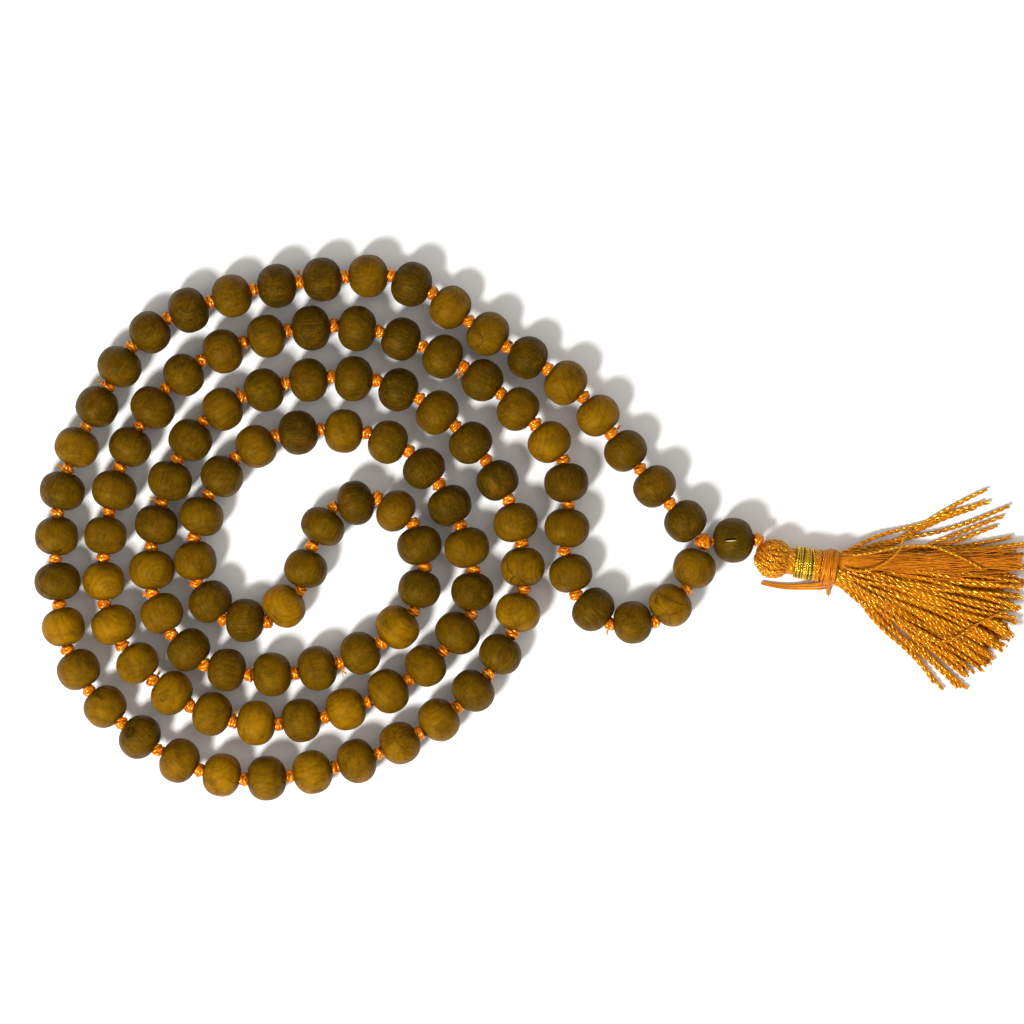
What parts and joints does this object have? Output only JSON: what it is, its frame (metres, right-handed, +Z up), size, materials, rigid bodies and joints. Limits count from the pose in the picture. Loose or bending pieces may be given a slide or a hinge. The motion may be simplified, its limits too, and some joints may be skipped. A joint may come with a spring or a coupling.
{
  "type": "mala prayer beads",
  "caption": "String of prayer beads knotted on orange silk, laid in a doubled spiral, with a guru bead and a fanned tassel.",
  "frame": {"origin": "on the table under the middle of the whole string as it lies", "axes": "+X along the tassel, away from the coil; +Y across the coil, away from the person it lies before; +Z up from the table"},
  "size_m": [0.1723, 0.0951, 0.0082],
  "materials": {
    "bead_wood": "matte turned wood, ochre to olive brown",
    "guru_wood": "matte turned wood, dark olive",
    "silk_thread": "twisted silk, soft sheen",
    "tassel_silk": "glossy twisted rayon cord",
    "gold_thread": "bright metallic thread",
    "core_wood": "plain turned wood"
  },
  "bodies": {
    "coil": {"coil_beads_001": "bead_wood", "coil_beads_002": "bead_wood", "coil_beads_003": "bead_wood", "coil_beads_004": "bead_wood", "coil_beads_005": "bead_wood", "coil_beads_006": "bead_wood", "coil_beads_007": "bead_wood", "coil_beads_008": "bead_wood", "coil_beads_009": "bead_wood", "coil_beads_010": "bead_wood", "coil_beads_011": "bead_wood", "coil_beads_012": "bead_wood", "coil_beads_013": "bead_wood", "coil_beads_014": "bead_wood", "coil_beads_015": "bead_wood", "coil_thread_001": "silk_thread", "coil_thread_002": "silk_thread", "coil_thread_003": "silk_thread", "coil_thread_004": "silk_thread", "coil_thread_005": "silk_thread", "coil_thread_006": "silk_thread", "coil_thread_007": "silk_thread"},
    "hook": {"hook_thread": "silk_thread"},
    "tail_1": {"tail_thread_001": "silk_thread"},
    "tail_2": {"tail_thread_002": "silk_thread"},
    "tail_3": {"tail_thread_003": "silk_thread"},
    "tail_4": {"tail_thread_004": "silk_thread"},
    "tail_5": {"tail_thread_005": "silk_thread"},
    "big_knot": {"junction_knot": "silk_thread"},
    "guru_cord": {"guru_thread": "silk_thread"},
    "guru": {"guru_bead": "guru_wood"},
    "tassel_link": {"tassel_knot": "silk_thread"},
    "tassel": {"head_cover": "tassel_silk", "head_core": "core_wood", "neck_bundle": "tassel_silk", "gold_winding": "gold_thread", "orange_winding": "tassel_silk", "neck_wrap": "tassel_silk", "tie_end": "tassel_silk", "fan_of_cords": "tassel_silk"},
    "bead_001": {"bead_001": "bead_wood"},
    "bead_002": {"bead_002": "bead_wood"},
    "bead_003": {"bead_003": "bead_wood"},
    "bead_004": {"bead_004": "bead_wood"},
    "bead_005": {"bead_005": "bead_wood"},
    "bead_006": {"bead_006": "bead_wood"},
    "bead_059": {"bead_059": "bead_wood"},
    "bead_060": {"bead_060": "bead_wood"},
    "bead_061": {"bead_061": "bead_wood"},
    "bead_100": {"bead_100": "bead_wood"},
    "bead_101": {"bead_101": "bead_wood"},
    "bead_102": {"bead_102": "bead_wood"},
    "bead_103": {"bead_103": "bead_wood"},
    "bead_104": {"bead_104": "bead_wood"},
    "bead_105": {"bead_105": "bead_wood"},
    "bead_106": {"bead_106": "bead_wood"},
    "bead_107": {"bead_107": "bead_wood"},
    "bead_108": {"bead_108": "bead_wood"}
  },
  "joints": [
    {"name": "tail_fold_1", "type": "hinge", "parent": "coil", "child": "tail_1", "pos_m": [-0.00359, 0.03148, 0.0039], "axis": [-0.1322, -0.9912, 0], "range_deg": [0, 30]},
    {"name": "tail_fold_2", "type": "hinge", "parent": "tail_1", "child": "tail_2", "pos_m": [0.00341, 0.02764, 0.0039], "axis": [-0.2152, -0.9766, 0], "range_deg": [0, 30]},
    {"name": "tail_fold_3", "type": "hinge", "parent": "tail_2", "child": "tail_3", "pos_m": [0.01451, 0.01638, 0.0039], "axis": [-0.2148, -0.9766, 0], "range_deg": [0, 25]},
    {"name": "tail_fold_4", "type": "hinge", "parent": "tail_3", "child": "tail_4", "pos_m": [0.0195, 0.01017, 0.0039], "axis": [-0.1903, -0.9817, 0], "range_deg": [0, 15]},
    {"name": "tail_fold_5", "type": "hinge", "parent": "tail_4", "child": "tail_5", "pos_m": [0.02468, 0.00409, 0.0039], "axis": [-0.1323, -0.9912, 0], "range_deg": [0, 20]},
    {"name": "hook_fold", "type": "hinge", "parent": "coil", "child": "hook", "pos_m": [-0.03758, -0.00327, 0.0039], "axis": [0.9759, 0.2182, 0], "range_deg": [0, 25]},
    {"name": "guru_swing", "type": "hinge", "parent": "tail_5", "child": "big_knot", "pos_m": [0.0305, -0.0025, 0.0039], "axis": [0, 0, 1], "range_deg": [-8, 8]},
    {"name": "guru_lift", "type": "hinge", "parent": "big_knot", "child": "guru_cord", "pos_m": [0.0305, -0.0025, 0.0039], "axis": [0, -1, 0], "range_deg": [0, 25]},
    {"name": "tassel_swing", "type": "hinge", "parent": "guru_cord", "child": "tassel_link", "pos_m": [0.03989, -0.00201, 0.0041], "axis": [0, 0, 1], "range_deg": [-5, 40]},
    {"name": "tassel_lift", "type": "hinge", "parent": "tassel_link", "child": "tassel", "pos_m": [0.03989, -0.00201, 0.0041], "axis": [0, -1, 0], "range_deg": [0, 30]},
    {"name": "guru_spin", "type": "hinge", "parent": "guru_cord", "child": "guru", "pos_m": [0.03559, -0.00223, 0.0041], "axis": [0.9986, 0.0523, 0], "continuous": true},
    {"name": "bead_spin_001", "type": "hinge", "parent": "tail_5", "child": "bead_001", "pos_m": [0.02732, 0.00109, 0.00386], "axis": [-0.6608, 0.7505, 0], "continuous": true},
    {"name": "bead_spin_002", "type": "hinge", "parent": "tail_4", "child": "bead_002", "pos_m": [0.02209, 0.00713, 0.00396], "axis": [-0.6487, 0.761, 0], "continuous": true},
    {"name": "bead_spin_003", "type": "hinge", "parent": "tail_3", "child": "bead_003", "pos_m": [0.01701, 0.01328, 0.0038], "axis": [-0.6258, 0.78, 0], "continuous": true},
    {"name": "bead_spin_004", "type": "hinge", "parent": "tail_2", "child": "bead_004", "pos_m": [0.01207, 0.01954, 0.00392], "axis": [-0.6125, 0.7905, 0], "continuous": true},
    {"name": "bead_spin_005", "type": "hinge", "parent": "tail_2", "child": "bead_005", "pos_m": [0.00652, 0.02516, 0.00398], "axis": [-0.7824, 0.6228, 0], "continuous": true},
    {"name": "bead_spin_006", "type": "hinge", "parent": "tail_1", "child": "bead_006", "pos_m": [-0.00009, 0.02956, 0.00384], "axis": [-0.8767, 0.481, 0], "continuous": true},
    {"name": "bead_spin_059", "type": "hinge", "parent": "hook", "child": "bead_059", "pos_m": [-0.02308, 0.00291, 0.0038], "axis": [-0.8166, 0.5773, 0], "continuous": true},
    {"name": "bead_spin_060", "type": "hinge", "parent": "hook", "child": "bead_060", "pos_m": [-0.03005, 0.0043, 0.00392], "axis": [-0.9765, -0.2154, 0], "continuous": true},
    {"name": "bead_spin_061", "type": "hinge", "parent": "hook", "child": "bead_061", "pos_m": [-0.03571, 0.0001, 0.00398], "axis": [-0.4844, -0.8749, 0], "continuous": true},
    {"name": "bead_spin_100", "type": "hinge", "parent": "tail_1", "child": "bead_100", "pos_m": [-0.00171, 0.02061, 0.00396], "axis": [0.7466, -0.6653, 0], "continuous": true},
    {"name": "bead_spin_101", "type": "hinge", "parent": "tail_2", "child": "bead_101", "pos_m": [0.00373, 0.01483, 0.0038], "axis": [0.6173, -0.7867, 0], "continuous": true},
    {"name": "bead_spin_102", "type": "hinge", "parent": "tail_2", "child": "bead_102", "pos_m": [0.00662, 0.00778, 0.00392], "axis": [0.1115, -0.9938, 0], "continuous": true},
    {"name": "bead_spin_103", "type": "hinge", "parent": "tail_2", "child": "bead_103", "pos_m": [0.00671, -0.00012, 0.00398], "axis": [-0.0884, -0.9961, 0], "continuous": true},
    {"name": "bead_spin_104", "type": "hinge", "parent": "tail_2", "child": "bead_104", "pos_m": [0.00735, -0.0079, 0.00384], "axis": [0.2515, -0.9678, 0], "continuous": true},
    {"name": "bead_spin_105", "type": "hinge", "parent": "tail_3", "child": "bead_105", "pos_m": [0.01131, -0.01425, 0.004], "axis": [0.7594, -0.6506, 0], "continuous": true},
    {"name": "bead_spin_106", "type": "hinge", "parent": "tail_4", "child": "bead_106", "pos_m": [0.01812, -0.01654, 0.00386], "axis": [0.9978, 0.0662, 0], "continuous": true},
    {"name": "bead_spin_107", "type": "hinge", "parent": "tail_5", "child": "bead_107", "pos_m": [0.02476, -0.01351, 0.00396], "axis": [0.709, 0.7052, 0], "continuous": true},
    {"name": "bead_spin_108", "type": "hinge", "parent": "tail_5", "child": "bead_108", "pos_m": [0.02891, -0.007, 0.0038], "axis": [0.3439, 0.939, 0], "continuous": true}
  ]
}
